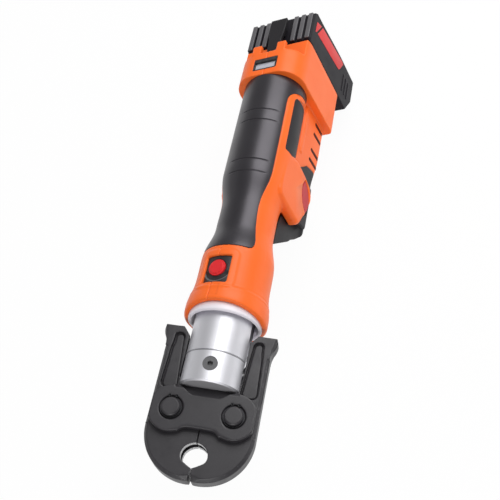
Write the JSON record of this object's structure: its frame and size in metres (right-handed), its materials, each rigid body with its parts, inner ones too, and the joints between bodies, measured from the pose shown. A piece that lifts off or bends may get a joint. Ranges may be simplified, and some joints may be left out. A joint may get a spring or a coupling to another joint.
{
  "type": "hydraulic crimping tool",
  "caption": "Cordless in-line hydraulic press tool with a swivelling head, hinged press jaws for a pipe, an orange housing with black grip and a slide-on battery.",
  "frame": {"origin": "centre of the closed jaw opening, on the axis of the clamped pipe", "axes": "+X along the tool axis from handle to jaws, +Z along the pipe axis, +Y to the right side of the tool"},
  "size_m": [0.4981, 0.1169, 0.1411],
  "materials": {
    "jaw_black": "satin black phosphate",
    "spring_steel": "dark oiled",
    "yoke_steel": "satin nickel",
    "ground_steel": "ground",
    "seal_rubber": "matt",
    "ring_plastic": "satin",
    "housing_orange": "satin",
    "grip_black": "soft satin",
    "black_plastic": "fine grain",
    "red_plastic": "satin",
    "window_clear": "polished",
    "board_green": "lacquered",
    "screw_steel": "black oxide",
    "gearbox_alloy": "cast",
    "motor_can": "satin",
    "battery_black": "fine grain",
    "cell_sleeve": "shrink sleeve",
    "contact_brass": "plain"
  },
  "bodies": {
    "handle": {"swivel_ring": "ring_plastic", "swivel_bearing": "ground_steel", "housing_right": "housing_orange", "housing_left": "housing_orange", "grip_right": "grip_black", "grip_left": "grip_black", "side_panel_right": "grip_black", "side_panel_left": "grip_black", "belly_grip": "grip_black", "housing_screws": "screw_steel", "button_bezel": "black_plastic", "display_window": "window_clear", "display_board": "board_green", "hydraulic_cylinder": "ground_steel", "pump_block": "ground_steel", "pump_plunger": "ground_steel", "gearbox": "gearbox_alloy", "motor": "motor_can", "oil_bladder": "seal_rubber", "control_board": "board_green", "trigger_switch": "black_plastic", "terminal_block": "black_plastic"},
    "head": {"head_yoke": "yoke_steel", "jaw_plate_top": "jaw_black", "jaw_plate_bottom": "jaw_black", "jaw_pivot_pins": "jaw_black", "jaw_retaining_rings": "spring_steel"},
    "ram": {"roller_carriage": "ground_steel", "roller_axles": "ground_steel", "ram_rod": "ground_steel", "piston_seal": "seal_rubber"},
    "right_jaw": {"jaw_right": "jaw_black"},
    "left_jaw": {"jaw_left": "jaw_black"},
    "right_roller": {"roller_right": "ground_steel"},
    "left_roller": {"roller_left": "ground_steel"},
    "lock_pin": {"jaw_lock_pin": "spring_steel"},
    "start_button": {"front_button": "red_plastic"},
    "trigger_lever": {"trigger": "black_plastic"},
    "right_release": {"release_button_right": "red_plastic"},
    "left_release": {"release_button_left": "red_plastic"},
    "drive_shaft": {"eccentric_shaft": "ground_steel"},
    "battery": {"battery_case": "battery_black", "battery_cells": "cell_sleeve", "battery_contacts": "contact_brass", "battery_stripes": "red_plastic"},
    "latch": {"battery_latch": "black_plastic"}
  },
  "joints": [
    {"name": "head_swivel", "type": "hinge", "parent": "handle", "child": "head", "pos_m": [-0.12, 0, 0], "axis": [1, 0, 0], "range_deg": [-175, 175]},
    {"name": "ram_slide", "type": "slide", "parent": "head", "child": "ram", "axis": [1, 0, 0], "range_m": [-0.038, 0]},
    {"name": "right_jaw_pivot", "type": "hinge", "parent": "head", "child": "right_jaw", "pos_m": [-0.0338, 0.0244, 0], "axis": [0, 0, 1], "range_deg": [0, 13]},
    {"name": "left_jaw_pivot", "type": "hinge", "parent": "head", "child": "left_jaw", "pos_m": [-0.0338, -0.0244, 0], "axis": [0, 0, 1], "range_deg": [-13, 0]},
    {"name": "right_roller_spin", "type": "hinge", "parent": "ram", "child": "right_roller", "pos_m": [-0.0806, 0.0132, 0], "axis": [0, 0, 1], "range_deg": [-191.5, 191.5]},
    {"name": "left_roller_spin", "type": "hinge", "parent": "ram", "child": "left_roller", "pos_m": [-0.0806, -0.0132, 0], "axis": [0, 0, 1], "range_deg": [-191.5, 191.5]},
    {"name": "lock_pin_pull", "type": "slide", "parent": "head", "child": "lock_pin", "axis": [0, 0, -1], "range_m": [0, 0.044]},
    {"name": "start_button_press", "type": "slide", "parent": "handle", "child": "start_button", "axis": [0, 0.3746, -0.9272], "range_m": [0, 0.002], "stiffness_N_per_m": 800, "springref_m": -0.002},
    {"name": "trigger_pull", "type": "slide", "parent": "handle", "child": "trigger_lever", "axis": [-1, 0, 0], "range_m": [0, 0.005], "stiffness_N_per_m": 1200, "springref_m": -0.004},
    {"name": "right_release_press", "type": "slide", "parent": "handle", "child": "right_release", "axis": [0, -0.9272, -0.3746], "range_m": [0, 0.002], "stiffness_N_per_m": 800, "springref_m": -0.002},
    {"name": "left_release_press", "type": "slide", "parent": "handle", "child": "left_release", "axis": [0, 0.9272, 0.3746], "range_m": [0, 0.002], "stiffness_N_per_m": 800, "springref_m": -0.002},
    {"name": "drive_spin", "type": "hinge", "parent": "handle", "child": "drive_shaft", "pos_m": [-0.262, 0, 0], "axis": [1, 0, 0], "continuous": true},
    {"name": "battery_slide", "type": "slide", "parent": "handle", "child": "battery", "axis": [0, 0.3746, -0.9272], "range_m": [0, 0.08]},
    {"name": "latch_press", "type": "slide", "parent": "battery", "child": "latch", "axis": [0, 0.3746, -0.9272], "range_m": [0, 0.002], "stiffness_N_per_m": 1000, "springref_m": -0.002}
  ],
  "couplings": [
    {"joint": "right_jaw_pivot", "follows": "ram_slide", "rad_per_m": -5.9703},
    {"joint": "left_jaw_pivot", "follows": "ram_slide", "rad_per_m": 5.9703},
    {"joint": "right_roller_spin", "follows": "ram_slide", "rad_per_m": 87.719},
    {"joint": "left_roller_spin", "follows": "ram_slide", "rad_per_m": -87.719}
  ]
}
